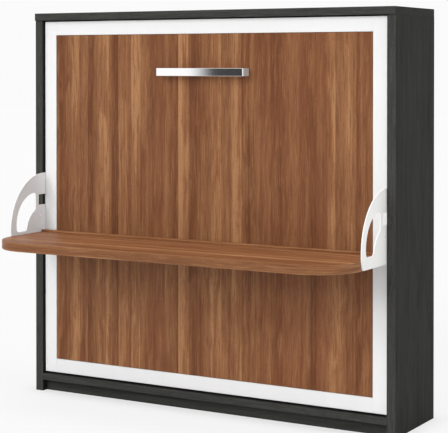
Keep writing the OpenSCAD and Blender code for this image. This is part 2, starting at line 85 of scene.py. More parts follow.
class WallBedSizes(bpy.types.PropertyGroup):
    """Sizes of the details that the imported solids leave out."""

    board_edge: length("Board edge", "Rounding of the edges of laminate boards", 0.9 * MM, 4 * MM)
    frame_edge: length("Frame edge", "Rounding of the lacquered bed front", 1.2 * MM, 4 * MM)
    desk_corner: length("Desk corner", "Radius of the two front corners of the desk", 218 * MM, 0.3)
    desk_edge: length("Desk edge", "Rounding of the rim of the desk", 3 * MM, 10 * MM)
    window_corner: length("Window corner", "Rounding of the corners of a bracket's window", 14 * MM, 30 * MM)
    steel_edge: length("Steel edge", "Rounding of the edges of plates and tubes", 0.7 * MM, 2 * MM)
    slat_edge: length("Slat edge", "Rounding of the edges of the slats", 2 * MM, 4 * MM)
    handle_edge: length("Handle edge", "Chamfer along the handle", 2.2 * MM, 4 * MM)
    handle_corner: length("Handle corner", "Rounding of the bar's two outer corners", 5.28 * MM, 9 * MM)
    handle_post: length("Handle post", "Thickness of the two ends of the handle", 12 * MM, 30 * MM)
    handle_bar: length("Handle bar", "Thickness of the bar of the handle", 9 * MM, 20 * MM)
    voxel: length("Mattress cell", "Cell of the mattress skin before it is blown up", 22 * MM, 60 * MM)
    swell: length("Mattress swell", "Furthest that the mattress skin may move", 10 * MM, 30 * MM)
    mattress_corner: length("Mattress corner", "Radius of the mattress's corners", 60 * MM, 0.2)
    mattress_edge: length("Mattress edge", "Rounding round both faces of the mattress", 18 * MM, 50 * MM)
    quilt_pitch: length("Quilting pitch", "Distance between two quilted lines", 150 * MM, 0.4)
    quilt_width: length("Quilting width", "Width of the dip along a quilted line", 12 * MM, 40 * MM)
    quilt_depth: length("Quilting depth", "Depth of the quilted lines", 6 * MM, 15 * MM)
    piping: length("Piping", "Radius of the cord sewn round both faces of the mattress", 4 * MM, 10 * MM)
    strap_width: length("Strap width", "Width of a mattress strap", 40 * MM, 80 * MM)


class WallBedColours(bpy.types.PropertyGroup):
    """Colours of the finishes."""

    carcass: colour("Carcass", "Dark oak laminate", "292927")
    carcass_band: colour("Carcass edging", "Front edges of the dark boards", "424240")
    lacquer: colour("Lacquer", "White border of the bed front", "f1f1f1")
    walnut: colour("Walnut", "Middle tone of the walnut", "885b3b")
    walnut_light: colour("Walnut light", "Light bands of the walnut", "a77851")
    walnut_dark: colour("Walnut dark", "Dark bands of the walnut", "6a3f25")
    powder: colour("Powder coat", "Desk brackets", "f9f8f7")
    ticking: colour("Ticking", "Cloth of the mattress", "eeebe4")


def sizes():
    return bpy.context.scene.wall_bed_sizes


def colours():
    return bpy.context.scene.wall_bed_colours


# ---------------- shader helpers


class Field:
    """What a shader node puts out, with the sums that the finishes are written in."""

    def __init__(self, socket):
        self.socket = socket

    def __add__(self, other):
        return calc("ADD", self, other)

    def __sub__(self, other):
        return calc("SUBTRACT", self, other)

    def __mul__(self, other):
        return calc("MULTIPLY", self, other)

    def __truediv__(self, other):
        return calc("DIVIDE", self, other)


def feed(socket, value):
    """Links a socket to what another node puts out, or sets its value."""
    if isinstance(value, Field):
        socket.id_data.links.new(value.socket, socket)
    else:
        socket.default_value = value


def new_node(tree, kind, values=None, **attributes):
    """A node with its settings, its values and its links; returns what it puts out, by name."""
    made = tree.nodes.new("ShaderNode" + kind)
    for key, value in attributes.items():
        setattr(made, key, value)
    for key, value in (values or {}).items():
        feed(made.inputs[key], value)
    return {socket.identifier: Field(socket) for socket in made.outputs}


def add(kind, values, output, **attributes):
    """One output of a node that other nodes feed."""
    tree = next(value.socket.id_data for value in values.values() if isinstance(value, Field))
    return new_node(tree, kind, values, **attributes)[output]


def calc(operation, a, b=0.0, clamp=False):
    return add("Math", {0: a, 1: b}, "Value", operation=operation, use_clamp=clamp)


def vector_calc(operation, a, b=(0, 0, 0), output="Vector"):
    return add("VectorMath", {0: a, 1: b}, output, operation=operation)


def split(vector):
    """The three parts of a place."""
    return new_node(vector.socket.id_data, "SeparateXYZ", {0: vector}).values()


def spread(value, low, high, to_low=0.0, to_high=1.0):
    """Stretches the middle of a noise to a full range."""
    values = {"Value": value, "From Min": low, "From Max": high, "To Min": to_low, "To Max": to_high}
    return add("MapRange", values, "Result", interpolation_type="SMOOTHSTEP")


def noise(vector, detail=2.0, roughness=0.5, distortion=0.0):
    values = {"Vector": vector, "Scale": 1.0, "Detail": detail, "Roughness": roughness,
              "Distortion": distortion}
    return add("TexNoise", values, "Fac", noise_dimensions="3D")


def tint(factor, under, over, kind="MIX"):
    """Mixes a colour over another."""
    return add("Mix", {0: factor, 6: under, 7: over}, "Result_Color", data_type="RGBA", blend_type=kind)


def per_length(vector, x, y=None, z=None):
    """Divides a place by three lengths, or by one."""
    size = {"X": x, "Y": x if y is None else y, "Z": x if z is None else z}
    return vector_calc("DIVIDE", vector, add("CombineXYZ", size, "Vector"))


def per_fibre(vector, width, slimness):
    """Divides a place by a width, and along the grain by a multiple of it."""
    return per_length(vector, width, width, width * slimness)


def mark_of(tree, name, output="Fac"):
    """What the mesh itself says at a place, such as whether it lies on a rounded rim."""
    return new_node(tree, "Attribute", attribute_name=name, attribute_type="GEOMETRY")[output]


def bump(height, strength, distance):
    return add("Bump", {"Height": height, "Strength": strength, "Distance": distance}, "Normal")


def shade(rgb, factor=1.0):
    """A colour made darker or lighter, with its alpha."""
    return tuple(min(1.0, channel * factor) for channel in rgb[:3]) + (1.0,)


# ---------------- effects that finishes share


def shader_group(name, inputs, outputs):
    """An empty node group: its tree, what it is given, and the sockets that it fills."""
    tree = bpy.data.node_groups.new(name, "ShaderNodeTree")
    tree.interface.new_socket("Vector", in_out="INPUT", socket_type="NodeSocketVector")
    for label, default in inputs.items():
        socket = tree.interface.new_socket(label, in_out="INPUT", socket_type="NodeSocketFloat")
        socket.default_value = default
    for label in outputs:
        tree.interface.new_socket(label, in_out="OUTPUT", socket_type="NodeSocketFloat")
    given = {socket.name: Field(socket) for socket in tree.nodes.new("NodeGroupInput").outputs}
    return tree, given, tree.nodes.new("NodeGroupOutput").inputs


def timber_figure():
    """Bands, staves, fibres and pores of a board whose grain runs along Z."""
    tree, given, out = shader_group(
        "timber figure",
        {"Band Width": 0.09, "Band Length": 1.5, "Fibre Width": 0.012, "Pore Width": 0.0016,
         "Stave Width": 0.08},
        ("Band", "Patch", "Fibre", "Pore", "Height", "Stave", "Hue", "Slope"))
    vector, width, along = given["Vector"], given["Band Width"], given["Band Length"]
    wide = width * 3.5
    drift = noise(per_length(vector, wide, wide, along * 0.35), detail=1.0)
    shift = (drift - 0.5) * (width * 1.1)
    place = vector_calc("ADD", vector, add("CombineXYZ", {"X": shift, "Y": shift}, "Vector"))
    band = noise(per_length(place, width, width, along), detail=4.0, roughness=0.6)
    patch = noise(per_length(place, wide, wide, along * 0.5), detail=2.0)
    fibre = noise(per_fibre(place, given["Fibre Width"], 30.0), detail=5.0, roughness=0.65)
    pores = spread(noise(per_fibre(place, given["Pore Width"], 16.0), detail=1.0), 0.60, 0.72)
    feed(out["Band"], spread(band, 0.32, 0.68))
    feed(out["Patch"], spread(patch, 0.35, 0.65))
    feed(out["Fibre"], spread(fibre, 0.30, 0.70))
    feed(out["Pore"], pores)
    feed(out["Height"], fibre - pores * 0.7)

    x, y, _ = split(vector)
    across = (x + y) / given["Stave Width"]
    cells = new_node(tree, "TexVoronoi", {"W": across, "Scale": 1.0, "Randomness": 0.85},
                     voronoi_dimensions="1D", feature="F1")
    red, green, blue = new_node(tree, "SeparateColor", {0: cells["Color"]}).values()
    lean = (across - cells["W"]) * (green - 0.5)
    feed(out["Stave"], red)
    feed(out["Hue"], blue)
    feed(out["Slope"], lean * 2.0 + 0.5)
    return tree


def surface_mottle():
    """Faint clouds, fine tooth and a few handling marks of a coated surface."""
    tree, given, out = shader_group(
        "surface mottle", {"Cloud Size": 0.25, "Tooth Size": 0.0012}, ("Cloud", "Tooth", "Mark"))
    vector, cloud = given["Vector"], given["Cloud Size"]
    smear = cloud * 0.35
    marks = noise(per_length(vector, smear, smear, cloud), detail=5.0, distortion=1.5)
    feed(out["Cloud"], spread(noise(per_length(vector, cloud), detail=3.0), 0.3, 0.7))
    feed(out["Tooth"], noise(per_length(vector, given["Tooth Size"]), detail=2.0))
    feed(out["Mark"], spread(marks, 0.52, 0.75))
    return tree


def edge_wear():
    """Where the rounded edges are rubbed: the rim that a piece marks, broken up along its length; and the
    whole rim, which the metals lighten as a painted highlight.
    """
    tree, given, out = shader_group("edge wear", {"Patch Size": 0.05, "Amount": 0.5}, ("Rim", "Worn"))
    rim = mark_of(tree, "rim")
    broken = noise(per_length(given["Vector"], given["Patch Size"]), detail=4.0, roughness=0.7)
    feed(out["Rim"], rim)
    feed(out["Worn"], calc("MULTIPLY", rim, spread(broken, 0.35, 0.7) * given["Amount"], clamp=True))
    return tree


def cloth_weave():
    """Crossing threads, thicker and thinner by turns."""
    tree, given, out = shader_group("cloth weave", {"Thread": 0.0012}, ("Thread", "Fuzz", "Height"))
    vector, thread = given["Vector"], given["Thread"]
    x, y, z = split(per_length(vector, thread))
    warp, weft = (calc("ABSOLUTE", calc("SINE", run * math.pi)) for run in (x, y + z))
    threads = (warp + weft) * 0.5
    fuzz = noise(per_length(vector, thread * 14.0), detail=4.0)
    feed(out["Thread"], threads)
    feed(out["Fuzz"], spread(fuzz, 0.3, 0.7))
    feed(out["Height"], threads + fuzz * 0.6)
    return tree


def drawn_metal():
    """Fine lines of drawn or brushed metal along X, with fingered patches."""
    tree, given, out = shader_group("drawn metal", {"Line Width": 0.0008}, ("Lines", "Smudge"))
    vector, line = given["Vector"], given["Line Width"]
    smudge = noise(per_length(vector, line * 60.0), detail=4.0, distortion=0.8)
    feed(out["Lines"], noise(per_length(vector, line * 90.0, line, line), detail=3.0))
    feed(out["Smudge"], spread(smudge, 0.4, 0.7))
    return tree


GROUP_MAKERS = {"timber figure": timber_figure, "surface mottle": surface_mottle, "edge wear": edge_wear,
                "cloth weave": cloth_weave, "drawn metal": drawn_metal}


def effect(name, place, **values):
    """Places a shared node group in a material; returns what it puts out, by name."""
    made = place.socket.id_data.nodes.new("ShaderNodeGroup")
    made.node_tree = bpy.data.node_groups.get(name) or GROUP_MAKERS[name]()
    feed(made.inputs["Vector"], place)
    for key, value in values.items():
        made.inputs[key.replace("_", " ").title()].default_value = value
    return {socket.name: Field(socket) for socket in made.outputs}


# ---------------- finishes

ALONG_X = (0, math.pi / 2, 0)     # turns X of the object to Z of the grain
ALONG_Z = (0, 0, 0)
BOUNCE_GREY = (0.17, 0.165, 0.165, 1)     # the wood's tone in the light that it throws on the white beside it
STITCH_TURNS = 900.0                      # radians per metre of the stitches' wave: one stitch in 7 mm


def bare_material(name):
    """A new material, its node tree and its Principled shader."""
    made = bpy.data.materials.new(name)
    made.use_nodes = True
    return made, made.node_tree, made.node_tree.nodes["Principled BSDF"]


def new_material(name, preview, turn=ALONG_Z, offset=(0, 0, 0), attribute=None):
    """A material with a Principled shader, and the place on the object turned to the grain."""
    made, tree, shader = bare_material(name)
    made.diffuse_color = (*preview[:3], 1)
    start = mark_of(tree, attribute, "Vector") if attribute else new_node(tree, "TexCoord")["Object"]
    place = add("Mapping", {"Vector": start, "Location": offset, "Rotation": turn}, "Vector",
                vector_type="POINT")
    return made, tree, shader, place


def wire(shader, **sockets):
    """Links or sets the sockets of the Principled shader."""
    for key, value in sockets.items():
        feed(shader.inputs[key.replace("_", " ")], value)


def black_oak(name, turn, offset=(0, 0, 0), depth=1.0):
    """Charcoal oak laminate: fine straight grain, pores, satin, lighter edging on the front edges."""
    # depth darkens or lightens both tones; the plinth's depth is painted light.
    dark, pale = shade(colours().carcass, depth), shade(colours().carcass_band, depth)
    made, tree, shader, place = new_material(name, colours().carcass, turn, offset)
    figure = effect("timber figure", place, band_width=0.035, band_length=0.9, fibre_width=0.009,
                    pore_width=0.0022)
    wear = effect("edge wear", place, amount=0.6)
    board = tint(figure["Band"], shade(dark, 0.72), shade(dark, 1.22))
    board = tint(figure["Fibre"] * 0.45, board, shade(dark, 1.5))
    edging = tint(figure["Fibre"], shade(pale, 0.78), shade(pale, 1.2))
    board = tint(mark_of(tree, "edging"), board, edging)
    board = tint(figure["Pore"] * 0.6, board, shade(dark, 0.4))
    board = tint(wear["Worn"] * 0.5, board, shade(colours().carcass_band, 1.8))
    wire(shader, Base_Color=board, Roughness=spread(figure["Fibre"], 0.0, 1.0, 0.62, 0.5),
         Specular_IOR_Level=0.04, Normal=bump(figure["Height"], 0.35, 0.0006))
    return made


def walnut(name, turn, offset=(0, 0, 0), stave=0.06, tone_and_painted_light=1.0, rim=(1, 1, 1), attribute=None):
    """Walnut laminate: staves of their own tone and hue, long bands, fine streaks, fibres and pores."""
    wood_tones = colours().walnut_dark, colours().walnut, colours().walnut_light
    # The lift raises all three tones: on the panel it is the wood's own tone, on the desk and the strip it is
    # painted light.
    dark, mid, light = [shade(tone, tone_and_painted_light) for tone in wood_tones]
    made, tree, shader, place = new_material(name, colours().walnut, turn, offset, attribute)
    figure = effect("timber figure", place, band_width=stave * 0.8, band_length=0.65, fibre_width=0.012,
                    pore_width=0.0015, stave_width=stave)
    streak = effect("timber figure", place, band_width=stave * 0.22, band_length=0.7, fibre_width=0.005,
                    pore_width=0.003, stave_width=stave * 0.36)
    wear = effect("edge wear", place, amount=0.5)
    tone = figure["Stave"] * 0.3 + figure["Slope"] * 0.24 + streak["Stave"] * 0.12
    tone = tone + figure["Band"] * 0.22 + streak["Band"] * 0.12
    fibre = figure["Fibre"] * 0.4 + streak["Fibre"] * 0.6
    wood = wood_ramp(tree, tone, (0.24, shade(dark, 0.9)), (0.36, shade(dark, 1.2)), (0.48, shade(mid, 0.94)),
                     (0.6, shade(mid, 1.16)), (0.66, shade(light, 0.96)), (0.74, shade(light, 1.1)))
    red = (mid[0] * 0.98, mid[1] * 0.85, mid[2] * 0.88, 1)
    grey = (mid[0] * 0.8, mid[1] * 0.86, mid[2] * 0.92, 1)
    wood = tint(spread(figure["Hue"], 0.45, 1.0, 0.0, 0.45), wood, red)
    wood = tint(figure["Patch"] * 0.14, wood, grey)
    wood = tint(spread(fibre, 0.5, 0.1, 0.0, 0.6), wood, shade(dark, 0.9))
    wood = tint(spread(fibre, 0.55, 0.95, 0.0, 0.4), wood, light)
    wood = tint(figure["Pore"] * 0.5, wood, shade(dark, 0.6))
    wood = tint(wear["Worn"] * 0.3, wood, shade(light, 1.15))
    # On the strip this tint is painted light on its shaded front face; on the desk it is the edging's own
    # tone.
    wood = tint(mark_of(tree, "edging"), wood, (*rim, 1), "MULTIPLY")
    wood = tint(new_node(tree, "LightPath")["Is Diffuse Ray"] * 0.7, wood, BOUNCE_GREY)
    wire(shader, Base_Color=wood, Roughness=spread(fibre, 0.0, 1.0, 0.56, 0.44), Specular_IOR_Level=0.2,
         Normal=bump(figure["Height"], 0.22, 0.0005))
    return made


def wood_ramp(tree, tone, *stops):
    """The colour that goes with a tone: each stop is a tone and its colour, in rising order."""
    made = tree.nodes.new("ShaderNodeValToRGB")
    feed(made.inputs["Fac"], tone)
    elements = made.color_ramp.elements
    first, *between, last = stops
    for element, (position, value) in zip(elements, (first, last)):
        element.position, element.color = position, value
    for position, value in between:
        elements.new(position).color = value
    return Field(made.outputs["Color"])


def coated(name, rgb, roughness, tooth, relief, cloud, specular=0.45, depth=1.0):
    """Lacquer, powder coat, plastic or rubber: faint clouds, fine tooth, rubbed edges."""
    rgb = shade(rgb, depth)
    made, _, shader, place = new_material(name, rgb)
    mottle = effect("surface mottle", place, tooth_size=tooth)
    wear = effect("edge wear", place, amount=0.7)
    paint = tint(mottle["Cloud"] * cloud, rgb, shade(rgb, 0.8))
    paint = tint(mottle["Mark"] * (cloud * 0.8), paint, shade(rgb, 0.7))
    paint = tint(wear["Worn"] * 0.35, paint, shade(rgb, 1.25))
    rough = spread(mottle["Mark"], 0.0, 1.0, roughness, roughness + 0.1)
    wire(shader, Base_Color=paint, Roughness=rough, Metallic=0.0, Specular_IOR_Level=specular,
         Normal=bump(mottle["Tooth"], relief, 0.0003))
    return made


def metal(name, rgb, roughness, line, relief, turn=ALONG_Z, marks=1.0, metallic=1.0):
    """Zinc, bright steel or chrome, with drawn lines, finger marks and a painted highlight along their
    rounded edges.
    """
    made, _, shader, place = new_material(name, rgb, turn)
    drawn = effect("drawn metal", place, line_width=line)
    wear = effect("edge wear", place, amount=0.5)
    skin = tint(drawn["Smudge"] * (0.25 * marks), shade(rgb), shade(rgb, 0.78))
    # Painted highlight: every rounded edge lighter, whole and unbroken.
    skin = tint(wear["Rim"] * 0.3, skin, shade(rgb, 1.3))
    dull = roughness + (roughness * 0.5 + 0.02) * marks
    wire(shader, Base_Color=skin, Roughness=spread(drawn["Smudge"], 0.0, 1.0, roughness, dull),
         Metallic=metallic, Normal=bump(drawn["Lines"], relief, 0.0002))
    return made


def cloth(name, rgb, thread, stitched=False):
    """Woven cloth with fuzz and sheen, and for the mattress the stitches of its quilting and painted shade
    along its quilted grooves.
    """
    made, tree, shader, place = new_material(name, rgb)
    weave = effect("cloth weave", place, thread=thread)
    base = tint(weave["Thread"] * 0.5, shade(rgb, 0.8), shade(rgb, 1.04))
    base = tint(weave["Fuzz"] * 0.22, base, shade(rgb, 0.84))
    height = weave["Height"]
    if stitched:
        quilt_line_and_shade = mark_of(tree, "quilt")
        x, _, z = split(place)
        stitch = spread(quilt_line_and_shade, 0.75, 1.0) * spread(calc("SINE", (x + z) * STITCH_TURNS), -0.2, 0.6)
        # Painted shade: the quilted grooves darker.
        base = tint(quilt_line_and_shade * 0.3, base, shade(rgb, 0.74))
        base = tint(stitch * 0.35, base, shade(rgb, 1.1))
        height = height + stitch * 1.5
    wire(shader, Base_Color=base, Roughness=0.92, Specular_IOR_Level=0.15, Sheen_Weight=0.25,
         Sheen_Roughness=0.5, Normal=bump(height, 0.5, thread * 0.6))
    return made


def pale_timber(name, turn):
    """Beech slats and dowels: pale, even, short flecks."""
    made, _, shader, place = new_material(name, linear("d9bf95"), turn)
    figure = effect("timber figure", place, band_width=0.02, band_length=0.5, fibre_width=0.005,
                    pore_width=0.0012)
    wood = tint(figure["Band"], shade(linear("cfb084")), shade(linear("e4cda6")))
    wood = tint(figure["Pore"] * 0.4, wood, shade(linear("a98554")))
    wire(shader, Base_Color=wood, Roughness=spread(figure["Fibre"], 0.0, 1.0, 0.6, 0.48),
         Specular_IOR_Level=0.35, Normal=bump(figure["Height"], 0.25, 0.0004))
    return made


DESK_RIM, STRIP_PAINTED_LIGHT = (0.95, 1.04, 1.05), (1.1, 1.15, 1.15)     # tints of the wood on the edging: the desk's is the edging's own tone, the strip's is painted light on its shaded front face

# Each finish: its maker, the material's name, and the maker's own values in their order. A word in place of
# the colour is one of the colours above.
FINISHES = {
    "carcass_upright": (black_oak, "carcass_upright", ALONG_Z),
    "carcass_across": (black_oak, "carcass_across", ALONG_X, (0.3, 0.1, 0.2), 0.96),
    # The plinth's depth of 1.6 is painted light: it lifts the plinth out of the shade under the bottom board.
    "plinth_across": (black_oak, "plinth_across", ALONG_X, (1.3, 0.4, 0.7), 1.6),
    "back_board": (black_oak, "back_board_dark", ALONG_Z, (2.1, 0.2, 0.4), 0.85),
    "raw_wood": (pale_timber, "raw_wood_beech", ALONG_Z),
    "black_rubber": (coated, "black_rubber", linear("202021"), 0.72, 0.002, 0.25, 0.3, 0.3),
    "zinc_steel": (metal, "zinc_steel", linear("b9bcc0"), 0.36, 0.0014, 0.12, ALONG_X),
    "bright_steel": (metal, "bright_steel", linear("d0d2d5"), 0.2, 0.0006, 0.06),
    "white_lacquer": (coated, "white_lacquer", "lacquer", 0.42, 0.004, 0.05, 0.05, 0.35),
    "walnut_panel": (walnut, "walnut_panel", ALONG_Z, (6.9, 0.0, 0.9), 0.06, 1.03),
    # The desk's higher lift paints on its top the light that falls on it from above; the strip's higher lift
    # and its edging tint paint light into its shade.
    "walnut_desk": (walnut, "walnut_desk", ALONG_X, (0.7, 0.3, 1.1), 0.035, 1.18, DESK_RIM, "grain"),
    "walnut_strip": (walnut, "walnut_strip", ALONG_X, (0.7, 0.3, 1.1), 0.045, 1.36, STRIP_PAINTED_LIGHT),
    "white_steel": (coated, "white_powder", "powder", 0.38, 0.0009, 0.12, 0.05, 0.4),
    "grey_tube": (coated, "grey_powder", linear("55585c"), 0.46, 0.0009, 0.2, 0.15, 0.4),
    "black_plastic": (coated, "black_plastic", linear("232426"), 0.5, 0.0012, 0.2, 0.2),
    "bush_plastic": (coated, "bush_plastic", linear("d8c9a0"), 0.5, 0.0012, 0.1, 0.1),
    "mattress_cloth": (cloth, "mattress_cloth", "ticking", 0.0016, True),
    "piping_cloth": (cloth, "piping_cloth", linear("8d9094"), 0.001),
    "strap_cloth": (cloth, "strap_cloth", linear("3a3a3d"), 0.0018),
    "handle_chrome": (metal, "handle_chrome", linear("fbfbfb"), 0.05, 0.0005, 0.004, ALONG_Z, 0.12),
    "handle_end": (metal, "handle_end_satin", linear("d6d2cd"), 0.5, 0.0009, 0.03, ALONG_Z, 0.4, 0.2),
    "painted_screw": (coated, "painted_screw", "powder", 0.4, 0.0009, 0.1, 0.1, 0.45, 0.9),
    "rod_chrome": (metal, "rod_chrome", linear("dfe1e3"), 0.1, 0.0005, 0.02),
    "strut_black": (coated, "strut_black", linear("242528"), 0.34, 0.001, 0.1, 0.15, 0.5),
}


def finish_named(name):
    """The material of that name, made the first time that it is asked for."""
    scene, key = bpy.context.scene, "finish " + name
    if scene.get(key) is None:
        maker, label, base, *values = FINISHES[name]
        if isinstance(base, str):
            base = getattr(colours(), base)
        scene[key] = maker(label, base, *values).name
    return bpy.data.materials[scene[key]]


# ---------------- modelling helpers

BODY_OF = {node: body for body, nodes in frame["record"]["behaviour"]["bodies"].items() for node in nodes}
SAME_PLACE = 0.01 * MM
STEEP = 0.5              # a face looks along an axis where its normal has more than this share of it


def marked_mesh(source=None):
    """A bmesh with the two marks that the finishes read, empty or from a mesh."""
    bm = bmesh.new()
    if source:
        bm.from_mesh(source)
    bm.faces.layers.float.new("rim")
    bm.faces.layers.float.new("edging")
    return bm


def block(bm, low, high):
    """A rectangular block between two corners."""
    low, high = Vector(low), Vector(high)
    verts = bmesh.ops.create_cube(bm, size=1.0)["verts"]
    bmesh.ops.scale(bm, vec=high - low, verts=verts)
    bmesh.ops.translate(bm, vec=(low + high) / 2, verts=verts)


def span(edge, axis):
    """How far an edge runs along an axis."""
    return abs(edge.verts[0].co[axis] - edge.verts[1].co[axis])


def middle(edge):
    """The place halfway along an edge."""
    return (edge.verts[0].co + edge.verts[1].co) / 2


def sharp_edges(bm, angle=30.0):
    """The edges whose two faces meet at more than an angle in degrees."""
    limit = math.radians(angle)
    return [e for e in bm.edges if e.is_manifold and e.calc_face_angle(0.0) > limit]


def ease(bm, width, segments=2, edges=None, mark=True, clamp=True):
    """Rounds edges, and marks the new faces as rim."""
    edges = sharp_edges(bm) if edges is None else edges
    if not edges or width <= 0:
        return
    made = bmesh.ops.bevel(bm, geom=edges, offset=width, offset_type="OFFSET", segments=segments, profile=0.5,
                           affect="EDGES", clamp_overlap=clamp, material=-1)
    if mark:
        rim = bm.faces.layers.float["rim"]
        for face in made["faces"]:
            face[rim] = 1.0


def new_object(name, data):
    """An object of the scene, at the origin."""
    made = bpy.data.objects.new(name, data)
    bpy.context.scene.collection.objects.link(made)
    return made


def mesh_from(bm, name):
    """Turns a bmesh into a mesh."""
    mesh = bpy.data.meshes.new(name)
    bm.to_mesh(mesh)
    bm.free()
    return mesh


def show(bm, name, finish, nodes=(), body=None, weighted=True):
    """Turns a bmesh into a shaded piece that rides on its body and stands for its nodes."""
    mesh = mesh_from(bm, name)
    if "custom_normal" in mesh.attributes:
        mesh.attributes.remove(mesh.attributes["custom_normal"])
    while mesh.uv_layers:
        mesh.uv_layers.remove(mesh.uv_layers[0])
    mesh.shade_smooth()
    mesh.materials.clear()
    mesh.materials.append(finish_named(finish))
    piece = new_object(name, mesh)
    if weighted:
        normals = piece.modifiers.new("even shading", "WEIGHTED_NORMAL")
        normals.weight, normals.keep_sharp = 80, True
    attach(piece, body or BODY_OF[nodes[0]])
    if nodes:
        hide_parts(*nodes)
    return piece


def repaint(finish, *nodes):
    """Gives CAD nodes their procedural finish and leaves their meshes alone."""
    for node in nodes:
        obj = frame["nodes"][node]
        if not obj.material_slots:
            obj.data.materials.append(None)
        for holder in obj.material_slots:
            holder.link = "OBJECT"
            holder.material = finish_named(finish)


def mark_edging(bm, ends=0.0):
    """Marks the front faces of a board, and in part its ends, for the lighter edging."""
    band = bm.faces.layers.float["edging"]
    for face in bm.faces:
        if face.normal.y < -STEEP:
            face[band] = 1.0
        elif abs(face.normal.x) > STEEP:
            face[band] = ends


def eased_boards(finish, width, *nodes, edging=False, ends=0.0):
    """Boards as plain blocks with rounded edges, and edging on their front edges and ends."""
    for node in nodes:
        bm = marked_mesh()
        block(bm, *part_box(node))
        ease(bm, width)
        if edging:
            mark_edging(bm, ends)
        show(bm, node + "_board", finish, [node])


def merged_copy(node):
    """A copy of a CAD node with its doubles merged and its flat faces joined."""
    bm = marked_mesh(frame["nodes"][node].data)
    bmesh.ops.remove_doubles(bm, verts=bm.verts, dist=SAME_PLACE)
    bmesh.ops.dissolve_limit(bm, angle_limit=math.radians(0.3), verts=bm.verts, edges=bm.edges)
    return bm


def eased_copies(finish, width, *nodes, segments=2, edging=False):
    """The CAD nodes' own shapes, with their sharp edges rounded."""
    for node in nodes:
        bm = merged_copy(node)
        ease(bm, width, segments)
        if edging:
            mark_edging(bm)
        show(bm, node + "_eased", finish, [node])


# ---------------- cabinet and bed front


class WALLBED_OT_cabinet(bpy.types.Operator):
    """Makes the dark cabinet: boards with rounded edges and edging, plinth, back and rails"""

    bl_idname = "wallbed.cabinet"
    bl_label = "Cabinet"

    def execute(self, context):
        edge = sizes().board_edge
        eased_copies("carcass_upright", edge, "side_panel_left", "side_panel_right", edging=True)
        eased_boards("carcass_across", edge * 1.5, "top_panel", edging=True, ends=0.12)
        eased_boards("carcass_across", edge, "bottom_panel", edging=True)
        eased_boards("plinth_across", edge, "plinth_front", "plinth_rear")
        eased_copies("plinth_across", edge, "plinth_ribs")
        eased_copies("back_board", edge * 0.5, "back_panel")
        eased_copies("carcass_across", edge, "wall_rail_top", "wall_rails_low")
        eased_boards("carcass_across", edge, "stop_batten")
        repaint("black_rubber", "stop_bumpers")
        repaint("raw_wood", "cabinet_dowels")
        return {"FINISHED"}


class WALLBED_OT_bed_front(bpy.types.Operator):
    """Makes the white lacquered border and the walnut panel that it holds"""

    bl_idname = "wallbed.bed_front"
    bl_label = "Bed front"

    def execute(self, context):
        eased_boards("white_lacquer", sizes().frame_edge, "frame_stile_left", "frame_stile_right",
                     "frame_rail_top", "frame_rail_bottom")
        eased_boards("walnut_panel", sizes().board_edge, "front_panel")
        return {"FINISHED"}


# ---------------- handle


class WALLBED_OT_handle(bpy.types.Operator):
    """Makes the chrome pull: a flat bar with an end turned back to the panel at each side"""

    bl_idname = "wallbed.handle"
    bl_label = "Handle"

    def execute(self, context):
        size = sizes()
        low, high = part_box("handle")
        bm = marked_mesh()
        block(bm, low, (high.x, low.y + size.handle_bar, high.z))
        turn_ends(bm, high.x - size.handle_post, high.y - low.y - size.handle_bar)
        outer = [e for e in sharp_edges(bm) if span(e, Z) > (high.z - low.z) / 2
                 and max(v.co.y for v in e.verts) < low.y + MM]
        ease(bm, size.handle_corner, 5, outer)
        ease(bm, size.handle_edge, 3)
        pull = show(bm, "handle_pull", "handle_chrome", ["handle"])
        pull.data.materials.append(finish_named("handle_end"))
        for face in pull.data.polygons:
            if abs(face.normal.x) > 0.9 and abs(face.center.x) > high.x - MM:
                face.material_index = 1
        repaint("bright_steel", "handle_screws")
        return {"FINISHED"}


def turn_ends(bm, inner, reach):
    """Cuts the bar at both sides and draws its ends back to the panel."""
    for place in ((-inner, 0, 0), (inner, 0, 0)):
        bmesh.ops.bisect_plane(bm, geom=bm.verts[:] + bm.edges[:] + bm.faces[:], plane_co=place,
                               plane_no=(1, 0, 0), dist=SAME_PLACE)
    ends = [f for f in bm.faces if f.normal.y > 0.9 and abs(f.calc_center_median().x) > inner]
    grown = bmesh.ops.extrude_face_region(bm, geom=ends)["geom"]
    bmesh.ops.delete(bm, geom=ends, context="FACES_ONLY")
    feet = [v for v in grown if isinstance(v, bmesh.types.BMVert)]
    bmesh.ops.translate(bm, vec=(0, reach, 0), verts=feet)
    bmesh.ops.recalc_face_normals(bm, faces=bm.faces)


# ---------------- desk

DESK_RIM_TILT = 0.9       # the faces of the rim look up or down less than this
DESK_WRAP_TILT = 0.7      # and the grain runs round the desk on these of them


class WALLBED_OT_desk(bpy.types.Operator):
    """Makes the walnut desk with its two round front corners, and the strip along its back"""

    bl_idname = "wallbed.desk"
    bl_label = "Desk"

    def execute(self, context):
        size = sizes()
        low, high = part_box("desk_top")
        bm = marked_mesh()
        block(bm, low, high)
        front = [e for e in bm.edges if middle(e).y < low.y + MM and span(e, Z) > MM]
        ease(bm, size.desk_corner, 32, front, mark=False)
        ease(bm, size.desk_edge, 4, sharp_edges(bm, 45))
        run_grain(bm, low, high, size.desk_corner)
        show(bm, "desk_board", "walnut_desk", ["desk_top"])
        eased_boards("walnut_strip", size.desk_edge * 0.6, "desk_strip", edging=True)
        return {"FINISHED"}


